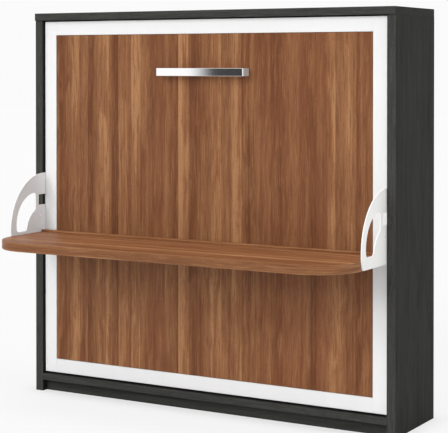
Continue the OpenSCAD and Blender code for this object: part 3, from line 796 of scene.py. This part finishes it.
def run_grain(bm, low, high, corner):
    """Writes where the grain is read: the place itself on the flats, the way round the desk on its rim."""
    grain = bm.loops.layers.float_vector.new("grain")
    band = bm.faces.layers.float["edging"]
    half, start = high.x - corner, low.y + corner

    def way_round(place):
        side = 1 if place.x > 0 else -1
        if place.y > start:
            return side * (half + corner * math.pi / 2 + place.y - start)
        if abs(place.x) > half:
            return side * (half + corner * math.atan2(abs(place.x) - half, start - place.y))
        return place.x

    for face in bm.faces:
        tilt = abs(face.normal.z)
        face[band] = 1.0 if tilt < DESK_RIM_TILT else 0.0
        for loop in face.loops:
            place = loop.vert.co
            loop[grain] = (way_round(place), low.y, place.z) if tilt < DESK_WRAP_TILT else place


# ---------------- desk brackets

BRACKET_POST = 209.5 * MM          # the window's corners are less than this behind the bracket's front
BRACKET_FOOT = 50 * MM             # and more than this above its lower edge
BRACKET_RADIUS = 278 * MM          # of the curved front
BRACKET_CENTRE = 72 * MM           # height of the curve's centre above the bracket's lower edge
BRACKET_BAND = 20 * MM             # edges within this distance of the curve belong to it
BRACKET_PLATE = 3 * MM             # an edge longer than this in X crosses the plate


class WALLBED_OT_brackets(bpy.types.Operator):
    """Makes the white steel desk brackets with their rounded windows, and their bushes and screws"""

    bl_idname = "wallbed.brackets"
    bl_label = "Desk brackets"

    def execute(self, context):
        size = sizes()
        for node in ("desk_bracket_left", "desk_bracket_right"):
            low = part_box(node)[0]
            bm = merged_copy(node)
            corners = [e for e in sharp_edges(bm, 18) if in_window(e, low)
                       and middle(e).y < low.y + BRACKET_POST and middle(e).z > low.z + BRACKET_FOOT]
            near = [e for e in bm.edges if e not in corners and in_window(e, low)
                    and any((middle(e) - middle(c)).length < size.window_corner * 1.6 for c in corners)]
            bmesh.ops.dissolve_edges(bm, edges=near, use_verts=True)
            ease(bm, size.window_corner, 6, corners, mark=False)
            ease(bm, size.steel_edge * 1.2, 3)
            show(bm, node + "_plate", "white_steel", [node])
        repaint("black_plastic", "desk_bushes")
        repaint("bright_steel", "tail_pins")
        repaint("painted_screw", "desk_screws")
        return {"FINISHED"}


def in_window(edge, low):
    """Whether an edge crosses the plate and lies behind its curved front."""
    place = middle(edge)
    out = math.hypot(place.y - low.y - BRACKET_RADIUS, place.z - low.z - BRACKET_CENTRE)
    return span(edge, X) > BRACKET_PLATE and out <= BRACKET_RADIUS - BRACKET_BAND


# ---------------- bed frame and linkage


class WALLBED_OT_bed_frame(bpy.types.Operator):
    """Makes the steel bed frame, its slats with their caps and pads, and the mattress guard"""

    bl_idname = "wallbed.bed_frame"
    bl_label = "Bed frame"

    def execute(self, context):
        edge = sizes().steel_edge
        eased_copies("grey_tube", edge * 2, "side_tube_left", "side_tube_right", "cross_tube_foot",
                     "cross_tubes", segments=3)
        eased_copies("zinc_steel", edge, "hinge_plates", "pivot_lugs")
        eased_copies("raw_wood", sizes().slat_edge, "slats", segments=3)
        eased_copies("black_plastic", edge, "slat_caps", "slat_pads")
        repaint("zinc_steel", "mattress_guard")
        return {"FINISHED"}


class WALLBED_OT_linkage(bpy.types.Operator):
    """Makes the pivot plates, link bars, legs and feet, and gives the pins their finish"""

    bl_idname = "wallbed.linkage"
    bl_label = "Linkage and legs"

    def execute(self, context):
        edge = sizes().steel_edge
        for side in ("left", "right"):
            eased_copies("zinc_steel", edge * 0.6, "pivot_plate_" + side)
            eased_copies("zinc_steel", edge, "link_bar_" + side, "leg_" + side)
            eased_copies("black_rubber", edge, "foot_" + side)
        repaint("bright_steel", "knee_pin_left", "knee_pin_right", "plate_screws", "main_pins", "anchor_pins",
                "hub_pins", "strut_studs")
        repaint("bush_plastic", "main_bushes")
        return {"FINISHED"}


class WALLBED_OT_struts(bpy.types.Operator):
    """Gives the two gas struts their black sleeves and chromed rods"""

    bl_idname = "wallbed.struts"
    bl_label = "Gas struts"

    def execute(self, context):
        repaint("strut_black", "strut_tube_left", "strut_tube_right")
        repaint("rod_chrome", "strut_rod_left", "strut_rod_right")
        return {"FINISHED"}


# ---------------- mattress

SKIN_INSET = 0.8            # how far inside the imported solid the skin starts, in swells
CLOTH_STEPS = 20
SEAM_DEPTH = 20 * MM        # how far the sewn edges reach into the border of the mattress
SEAM_REACH = 14 * MM        # and from its sides
PIPING_INSET = 16 * MM      # of the cord behind each face
PIPING_PROUD = 0.4          # how far its middle stands off the skin, in radii
QUILT_BORDER = 60 * MM      # the quilted line that frames each face
QUILT_START = 50 * MM       # from the sides to where the crossing lines begin
QUILT_FADE = 40 * MM        # over which they reach their depth


def evaluated_mesh(piece):
    """A new mesh of the piece as its modifiers leave it."""
    graph = bpy.context.evaluated_depsgraph_get()
    graph.update()
    return bpy.data.meshes.new_from_object(piece.evaluated_get(graph))


def bake_modifiers(piece):
    """Applies what the piece's modifiers make of it."""
    mesh = evaluated_mesh(piece)
    piece.modifiers.clear()
    old, piece.data = piece.data, mesh
    bpy.data.meshes.remove(old)


def blow_up(piece, seams, swell):
    """Lets a closed skin swell under pressure while its sewn edges hold, and caps how far it moves."""
    start = [v.co.copy() for v in piece.data.vertices]
    piece.vertex_groups.new(name="seams").add(seams, 1.0, "REPLACE")
    settings = piece.modifiers.new("swell", "CLOTH").settings
    settings.quality = 5
    settings.mass = 0.4
    settings.use_pressure = True
    settings.uniform_pressure_force = 4.0
    settings.effector_weights.gravity = 0.0
    settings.vertex_group_mass = "seams"
    settings.tension_stiffness = 12.0
    settings.bending_stiffness = 1.5
    scene = bpy.context.scene
    for moment in range(1, CLOTH_STEPS + 1):
        scene.frame_set(moment)
    swollen = evaluated_mesh(piece)
    piece.modifiers.clear()
    for vertex, before, after in zip(piece.data.vertices, start, swollen.vertices):
        move = after.co - before
        vertex.co = before + move * min(1.0, swell / max(move.length, 1e-9))
    bpy.data.meshes.remove(swollen)
    scene.frame_set(1)
    piece.vertex_groups.clear()


def from_side(place, low, high):
    """How far a place on the mattress's wide face is from the nearest side."""
    return min(place.x - low.x, high.x - place.x, place.z - low.z, high.z - place.z)


class WALLBED_OT_mattress(bpy.types.Operator):
    """Makes the quilted mattress, blown up from a sewn skin, with piping round both faces"""

    bl_idname = "wallbed.mattress"
    bl_label = "Mattress"

    def execute(self, context):
        size = sizes()
        low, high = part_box("mattress")
        inset = Vector((size.swell, size.swell * 0.9, size.swell)) * SKIN_INSET
        low, high = low + inset, high - inset
        piece = sewn_skin(size, low, high)
        seams = [v.index for v in piece.data.vertices if from_side(v.co, low, high) < SEAM_REACH
                 and min(v.co.y - low.y, high.y - v.co.y) < SEAM_DEPTH]
        blow_up(piece, seams, size.swell)
        finer = piece.modifiers.new("finer", "SUBSURF")
        finer.levels = finer.render_levels = 1
        bake_modifiers(piece)
        quilt(piece.data, low, high, size)
        piece.data.shade_smooth()
        tree = surface_tree(piece)
        sew_piping("front", low.y + PIPING_INSET, low, high, tree, size)
        sew_piping("back", high.y - PIPING_INSET, low, high, tree, size)
        return {"FINISHED"}


def sewn_skin(size, low, high):
    """The mattress before it is blown up: a block with round corners, cut into even cells."""
    bm = marked_mesh()
    block(bm, low, high)
    upright = [e for e in bm.edges if span(e, Y) > size.mattress_corner]
    ease(bm, size.mattress_corner, 6, upright, mark=False, clamp=False)
    ease(bm, size.mattress_edge, 3, sharp_edges(bm, 60), mark=False, clamp=False)
    piece = show(bm, "mattress_skin", "mattress_cloth", ["mattress"], weighted=False)
    cells = piece.modifiers.new("cells", "REMESH")
    cells.mode, cells.voxel_size = "VOXEL", size.voxel
    bake_modifiers(piece)
    return piece


def quilt(mesh, low, high, size):
    """Draws the two wide faces in along crossing diagonal lines, and marks the lines for the stitches and for
    the painted shade along them.
    """
    pitch, width = size.quilt_pitch, size.quilt_width
    mark = mesh.attributes.new("quilt", "FLOAT", "POINT")
    values, places = [], []
    for place, normal in [(vertex.co.copy(), vertex.normal.copy()) for vertex in mesh.vertices]:
        flat = min(1.0, max(0.0, abs(normal.y) * 2 - 1))
        border = from_side(place, low, high)
        fade = flat * min(1.0, max(0.0, (border - QUILT_START) / QUILT_FADE))
        turns = [(place.x + sign * place.z) / math.sqrt(2) / pitch for sign in (-1, 1)]
        nearest = min(abs(turn % 1.0 - 0.5) for turn in turns) * pitch
        dip = max(math.exp(-(nearest / width) ** 2) * fade,
                  math.exp(-((border - QUILT_BORDER) / width) ** 2) * flat)
        places.extend(place - normal * dip * size.quilt_depth)
        values.append(dip)
    mesh.vertices.foreach_set("co", places)
    mark.data.foreach_set("value", values)
    mesh.update()


def surface_tree(piece):
    """A search tree of a piece's faces, for rays and nearest points."""
    bm = bmesh.new()
    bm.from_mesh(piece.data)
    tree = BVHTree.FromBMesh(bm)
    bm.free()
    return tree


def sew_piping(label, level, low, high, tree, size):
    """A thin cord sewn on the mattress skin all round, at one level."""
    sewn = []
    for point in way_round_mattress(low, high, size.mattress_corner, level):
        found, normal, _, _ = tree.find_nearest(point)
        sewn.append(found + normal * size.piping * PIPING_PROUD)
    data = bpy.data.curves.new("piping_" + label, "CURVE")
    data.dimensions = "3D"
    data.bevel_depth = size.piping
    data.bevel_resolution = 2
    data.use_fill_caps = False
    spline = data.splines.new("POLY")
    spline.points.add(len(sewn) - 1)
    for knot, point in zip(spline.points, sewn):
        knot.co = (*point, 1)
    spline.use_cyclic_u = True
    helper = new_object("piping_" + label, data)
    mesh = evaluated_mesh(helper)
    bpy.data.objects.remove(helper)
    bpy.data.curves.remove(data)
    bm = marked_mesh(mesh)
    bpy.data.meshes.remove(mesh)
    show(bm, "mattress_piping_" + label, "piping_cloth", body="bed", weighted=False)


def way_round_mattress(low, high, corner, level, steps=9, pitch=0.05):
    """Points round the mattress at one level: an arc at each corner, and straight runs between them."""
    half_x, half_z = (high.x - low.x) / 2, (high.z - low.z) / 2
    centre_x, centre_z = (low.x + high.x) / 2, (low.z + high.z) / 2
    arcs = []
    for quarter, (side_x, side_z) in enumerate(((1, 1), (-1, 1), (-1, -1), (1, -1))):
        for step in range(steps):
            angle = math.pi / 2 * (quarter + step / (steps - 1))
            arcs.append(Vector((centre_x + side_x * (half_x - corner) + corner * math.cos(angle), level,
                                centre_z + side_z * (half_z - corner) + corner * math.sin(angle))))
    points = []
    for here, there in zip(arcs, arcs[1:] + arcs[:1]):
        pieces = max(1, round((there - here).length / pitch))
        points += [here.lerp(there, k / pieces) for k in range(pieces)]
    return points


# ---------------- mattress straps

WEBBING = 2 * MM            # room that a strap takes between frame and mattress
WEBBING_WALL = 1.6 * MM     # its own thickness
WEBBING_LIFT = 1.4 * MM     # of its middle over what it lies on
WEBBING_REACH = 20 * MM     # from the mattress's front edge to where the strap turns to its tube
WEBBING_START = 12 * MM     # from the mattress's edges to where its way over a face begins
RISE_STEPS, OVER_STEPS = 9, 90      # places along the strap at a side and over the wide face
RAY_ABOVE = 100 * MM        # the strap's bed is felt for from this far off
RAY_LENGTH = 200 * MM
BUCKLE_HEIGHT = 380 * MM    # above the lower edge of the mattress
BUCKLE_OVER = 6 * MM        # past the webbing at each side
BUCKLE_PITCH = 14 * MM      # from bar to bar
BUCKLE_BAR = 2.5 * MM       # half of a bar
BUCKLE_CHEEK = 3 * MM       # half of a cheek
BUCKLE_HALF = 17 * MM       # half of the length of a cheek
BUCKLE_SEAT = 1.5 * MM      # the bars' back face off the mattress
BUCKLE_DEPTH = 4 * MM       # of a bar; a cheek stands 1 mm past it at the front and at the back
BUCKLE_EDGE = 1.2 * MM      # rounding of its edges


class WALLBED_OT_straps(bpy.types.Operator):
    """Makes the two webbing straps that hold the mattress, each with its buckle"""

    bl_idname = "wallbed.straps"
    bl_label = "Mattress straps"

    def execute(self, context):
        half = sizes().strap_width / 2
        low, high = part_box("mattress_straps")
        bed_low, bed_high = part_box("mattress")
        trees = [surface_tree(bpy.data.objects[name])
                 for name in ("mattress_skin", "mattress_piping_front", "mattress_piping_back")]
        webbing, buckles = marked_mesh(), marked_mesh()
        for centre in (half - high.x, high.x - half):
            ribbon(webbing, strap_route(trees, centre, half, low, high, bed_low, bed_high), half)
            seat = Vector((centre, bed_high.y, bed_low.z + BUCKLE_HEIGHT))
            buckle(buckles, support(trees, centre, half, seat, Vector((0, 1, 0))), half + BUCKLE_OVER)
        bmesh.ops.solidify(webbing, geom=webbing.faces[:], thickness=WEBBING_WALL)
        bmesh.ops.recalc_face_normals(webbing, faces=webbing.faces)
        show(webbing, "mattress_webbing", "strap_cloth", ["mattress_straps"], weighted=False)
        ease(buckles, BUCKLE_EDGE)
        show(buckles, "strap_buckles", "black_plastic", body="bed")
        return {"FINISHED"}


def buckle(bm, seat, reach):
    """Three bars across the webbing, held by a cheek at each side."""
    back = seat.y + BUCKLE_SEAT
    front = back + BUCKLE_DEPTH
    for bar in (-1, 0, 1):
        level = seat.z + bar * BUCKLE_PITCH
        block(bm, (seat.x - reach, back, level - BUCKLE_BAR), (seat.x + reach, front, level + BUCKLE_BAR))
    for end in (-1, 1):
        edge = seat.x + end * reach
        block(bm, (edge - BUCKLE_CHEEK, back - MM, seat.z - BUCKLE_HALF),
              (edge + BUCKLE_CHEEK, front + MM, seat.z + BUCKLE_HALF))


def support(trees, centre, half, place, outward):
    """The outermost point of the mattress and its piping under the width of a strap."""
    far = place + outward * RAY_ABOVE
    reach = 0.0
    for share in (-1, -0.5, 0, 0.5, 1):
        start = Vector((centre + share * half, far.y, far.z))
        for tree in trees:
            hit = tree.ray_cast(start, -outward, RAY_LENGTH)[0]
            if hit is not None:
                reach = max(reach, RAY_LENGTH - (hit - start).length)
    return far + outward * (reach - RAY_LENGTH)


def steps_between(start, end, count):
    """Evenly spaced values, both ends among them."""
    return [start + (end - start) * k / (count - 1) for k in range(count)]


def strap_route(trees, centre, half, low, high, bed_low, bed_high):
    """The way of a strap: up one side of the mattress, taut over its wide face, and down the other side."""
    down, out, up = Vector((0, 0, -1)), Vector((0, 1, 0)), Vector((0, 0, 1))
    rise = steps_between(bed_low.y + WEBBING_REACH, bed_high.y - WEBBING_START, RISE_STEPS)
    over = steps_between(bed_low.z + WEBBING_START, bed_high.z - WEBBING_START, OVER_STEPS)
    runs = [[(Vector((centre, y, bed_low.z)), down) for y in rise],
            [(Vector((centre, bed_high.y, z)), out) for z in over],
            [(Vector((centre, y, bed_high.z)), up) for y in reversed(rise)]]
    foot, head, turn = low.z + WEBBING, high.z - WEBBING, bed_low.y - WEBBING_REACH
    route = [Vector((centre, low.y, foot)), Vector((centre, turn, foot))]
    for run in runs:
        heights = [(support(trees, centre, half, *step) - step[0]).dot(step[1]) for step in run]
        taut = [max(near) for near in neighbours(heights)]
        even = [sum(near) / len(near) for near in neighbours(taut)]
        for (place, outward), height, here in zip(run, even, heights):
            route.append(place + outward * (max(height, here) + WEBBING_LIFT))
    return route + [Vector((centre, turn, head)), Vector((centre, low.y, head))]


def neighbours(values):
    """Each value with the one before it and the one after it."""
    return [values[max(0, k - 1):k + 2] for k in range(len(values))]


def ribbon(bm, run, half):
    """A flat band along a route, made by extruding its first cross line."""
    line = bm.edges.new([bm.verts.new(run[0] + Vector((side * half, 0, 0))) for side in (-1, 1)])
    for here, there in zip(run, run[1:]):
        grown = bmesh.ops.extrude_edge_only(bm, edges=[line])["geom"]
        ends = [g for g in grown if isinstance(g, bmesh.types.BMVert)]
        bmesh.ops.translate(bm, vec=there - here, verts=ends)
        line = next(g for g in grown if isinstance(g, bmesh.types.BMEdge) and all(v in ends for v in g.verts))


# ---------------- stage

CAMERA_PLACE = (3.7065, -6.1938, 1.7253)
CAMERA_YAW, CAMERA_PITCH = 30.0281, 0.7035
CAMERA_LENS, CAMERA_SHIFT = 117.666, -0.30
PAPER = (0.961, 0.961, 0.961, 1)       # the background, where 1 is white
SKY = 0.35                             # light of the surroundings on the object
FLOOR_HALF, FLOOR_DROP = 40.0, 0.4 * MM
FLOOR_TONE = (0.95, 0.95, 0.953, 1)
FLOOR_BOUNCE = (0.7, 0.7, 0.7, 1)      # the tone that lights the object from below
# The boxes that keep a shadow round them: the middle and the half size of each
CABINET_MIDDLE, CABINET_HALF = (0, 0.245, 0), (1.03, 0.233, 1)
OPEN_BED_MIDDLE, OPEN_BED_HALF = (0, -1.35, 0), (1.1, 0.4, 1)
# How much plain paper lies over the lit floor: from one distance to another, from one share to another
PAPER_FAR = (1.2, 3.0, 0.86, 1.0)             # away from the bed
PAPER_AT_CABINET = (-0.15, 0.15, 0.4, 0.86)
PAPER_AT_OPEN_BED = (0.0, 0.25, 0.55, 0.86)
LAMP_PLACE = (0, 0, 6)
# Each lamp's height and turn (negative is from the left), its spread, all in degrees, and its strength
LIGHTS = {"key_light": (28, -18, 36, 1.52), "fill_light": (4, -5, 40, 0.6),
          "side_light": (26, 90, 45, 1.12), "top_light": (86, 0, 24, 0.95)}
CARD_HALF, CARD_PLACE = (1.1, 1, 1.2), (-2.6, -5.0, 1.7)
CARD_TURN = (-3.12, -2.82)             # where the card goes from paper to dark, in X
CARD_TONES = (1.04, 0.055)


class WALLBED_OT_stage(bpy.types.Operator):
    """Makes the pale floor, the soft lights, the reflection card and the camera"""

    bl_idname = "wallbed.stage"
    bl_label = "Stage"

    def execute(self, context):
        scene = context.scene
        scene.view_settings.view_transform = "Standard"
        data = bpy.data.cameras.new("photo_view")
        data.sensor_width, data.lens, data.shift_y = 36.0, CAMERA_LENS, CAMERA_SHIFT
        data.clip_end = 200.0
        camera = new_object("photo_view", data)
        camera.location = CAMERA_PLACE
        camera.rotation_euler = (math.radians(90 - CAMERA_PITCH), 0, math.radians(CAMERA_YAW))
        scene.camera = camera
        lay_floor()
        paper_world(scene)
        for name, values in LIGHTS.items():
            far_light(name, *values)
        reflection_card()
        return {"FINISHED"}


def lay_floor():
    """A wide floor that shows as paper far away and keeps the shadow of the bed."""
    bm = bmesh.new()
    bmesh.ops.create_grid(bm, x_segments=1, y_segments=1, size=FLOOR_HALF)
    bmesh.ops.translate(bm, vec=(0, 0, -FLOOR_DROP), verts=bm.verts)
    floor = new_object("floor", mesh_from(bm, "floor"))
    made, tree, shader = bare_material("floor_paper")
    path = new_node(tree, "LightPath")
    ground = tint(path["Is Diffuse Ray"], FLOOR_TONE, FLOOR_BOUNCE)
    wire(shader, Base_Color=ground, Roughness=0.9, Specular_IOR_Level=0.1)
    paper = new_node(tree, "Emission", {"Color": PAPER, "Strength": 1.0})["Emission"]
    place = new_node(tree, "TexCoord")["Object"]
    far = spread(vector_calc("LENGTH", place, output="Value"), *PAPER_FAR)
    foot = spread(off_box(place, CABINET_MIDDLE, CABINET_HALF), *PAPER_AT_CABINET)
    under = spread(off_box(place, OPEN_BED_MIDDLE, OPEN_BED_HALF), *PAPER_AT_OPEN_BED)
    share = calc("MINIMUM", far, calc("MINIMUM", foot, under))
    surface = add("MixShader", {0: share * path["Is Camera Ray"], 1: Field(shader.outputs[0]), 2: paper},
                  "Shader")
    feed(tree.nodes["Material Output"].inputs["Surface"], surface)
    floor.data.materials.append(made)


def off_box(place, centre, half):
    """How far a place lies outside a box."""
    side = vector_calc("ABSOLUTE", vector_calc("SUBTRACT", place, centre))
    outside = vector_calc("MAXIMUM", vector_calc("SUBTRACT", side, half))
    return vector_calc("LENGTH", outside, output="Value")


def paper_world(scene):
    """White to the camera and in reflections, a soft even light on everything else."""
    world = bpy.data.worlds.new("paper_world")
    world.use_nodes = True
    tree = world.node_tree
    tree.nodes.clear()
    path = new_node(tree, "LightPath")
    mirrored = path["Is Glossy Ray"] + path["Is Transmission Ray"]
    seen = calc("ADD", path["Is Camera Ray"], mirrored, clamp=True)
    light = new_node(tree, "Background", {"Color": (1, 1, 1, 1), "Strength": SKY})["Background"]
    paper = new_node(tree, "Background", {"Color": PAPER, "Strength": 1.0})["Background"]
    surface = add("MixShader", {0: seen, 1: light, 2: paper}, "Shader")
    feed(tree.nodes.new("ShaderNodeOutputWorld").inputs["Surface"], surface)
    scene.world = world


def far_light(name, height, turn, spread_angle, strength):
    """A very large and very distant soft box: as bright at the foot of the bed as at its top."""
    data = bpy.data.lights.new(name, "SUN")
    data.energy, data.angle = strength, math.radians(spread_angle)
    lamp = new_object(name, data)
    lamp.rotation_euler = (math.radians(90 - height), 0, math.radians(turn))
    lamp.location = LAMP_PLACE
    lamp.visible_glossy = False


def reflection_card():
    """A card that only mirrors see: paper on its left, dark on its right, for the two tones of the handle."""
    bm = bmesh.new()
    bmesh.ops.create_grid(bm, x_segments=1, y_segments=1, size=1.0)
    bmesh.ops.rotate(bm, cent=(0, 0, 0), matrix=Matrix.Rotation(math.pi / 2, 3, "X"), verts=bm.verts)
    bmesh.ops.scale(bm, vec=CARD_HALF, verts=bm.verts)
    bmesh.ops.translate(bm, vec=CARD_PLACE, verts=bm.verts)
    card = new_object("reflection_card", mesh_from(bm, "reflection_card"))
    made, tree, _ = bare_material("card_gradient")
    x, _, _ = split(new_node(tree, "TexCoord")["Object"])
    glow = add("Emission", {"Color": spread(x, *CARD_TURN, *CARD_TONES), "Strength": 1.0}, "Emission")
    feed(tree.nodes["Material Output"].inputs["Surface"], glow)
    card.data.materials.append(made)
    for seen_by in ("camera", "diffuse", "transmission", "volume_scatter", "shadow"):
        setattr(card, "visible_" + seen_by, False)


# ---------------- panel and registration

OPERATORS = (WALLBED_OT_cabinet, WALLBED_OT_bed_front, WALLBED_OT_handle, WALLBED_OT_desk,
             WALLBED_OT_brackets, WALLBED_OT_bed_frame, WALLBED_OT_linkage, WALLBED_OT_struts,
             WALLBED_OT_mattress, WALLBED_OT_straps, WALLBED_OT_stage)


class WALLBED_PT_panel(bpy.types.Panel):
    """Lists the sizes, the colours and the pieces"""

    bl_idname = "WALLBED_PT_panel"
    bl_label = "Wall bed"
    bl_space_type = "VIEW_3D"
    bl_region_type = "UI"
    bl_category = "Wall bed"

    def draw(self, context):
        column = self.layout.column(align=True)
        for group in (context.scene.wall_bed_sizes, context.scene.wall_bed_colours):
            for name in group.__annotations__:
                column.prop(group, name)
        column.separator()
        for operator in OPERATORS:
            column.operator(operator.bl_idname)


CLASSES = (WallBedSizes, WallBedColours, *OPERATORS, WALLBED_PT_panel)


def register():
    for made in CLASSES:
        bpy.utils.register_class(made)
    bpy.types.Scene.wall_bed_sizes = PointerProperty(type=WallBedSizes)
    bpy.types.Scene.wall_bed_colours = PointerProperty(type=WallBedColours)


def unregister():
    del bpy.types.Scene.wall_bed_colours
    del bpy.types.Scene.wall_bed_sizes
    for made in reversed(CLASSES):
        bpy.utils.unregister_class(made)


def main():
    register()
    for operator in OPERATORS:
        category, name = operator.bl_idname.split(".")
        getattr(getattr(bpy.ops, category), name)()


if __name__ == "__main__":
    main()
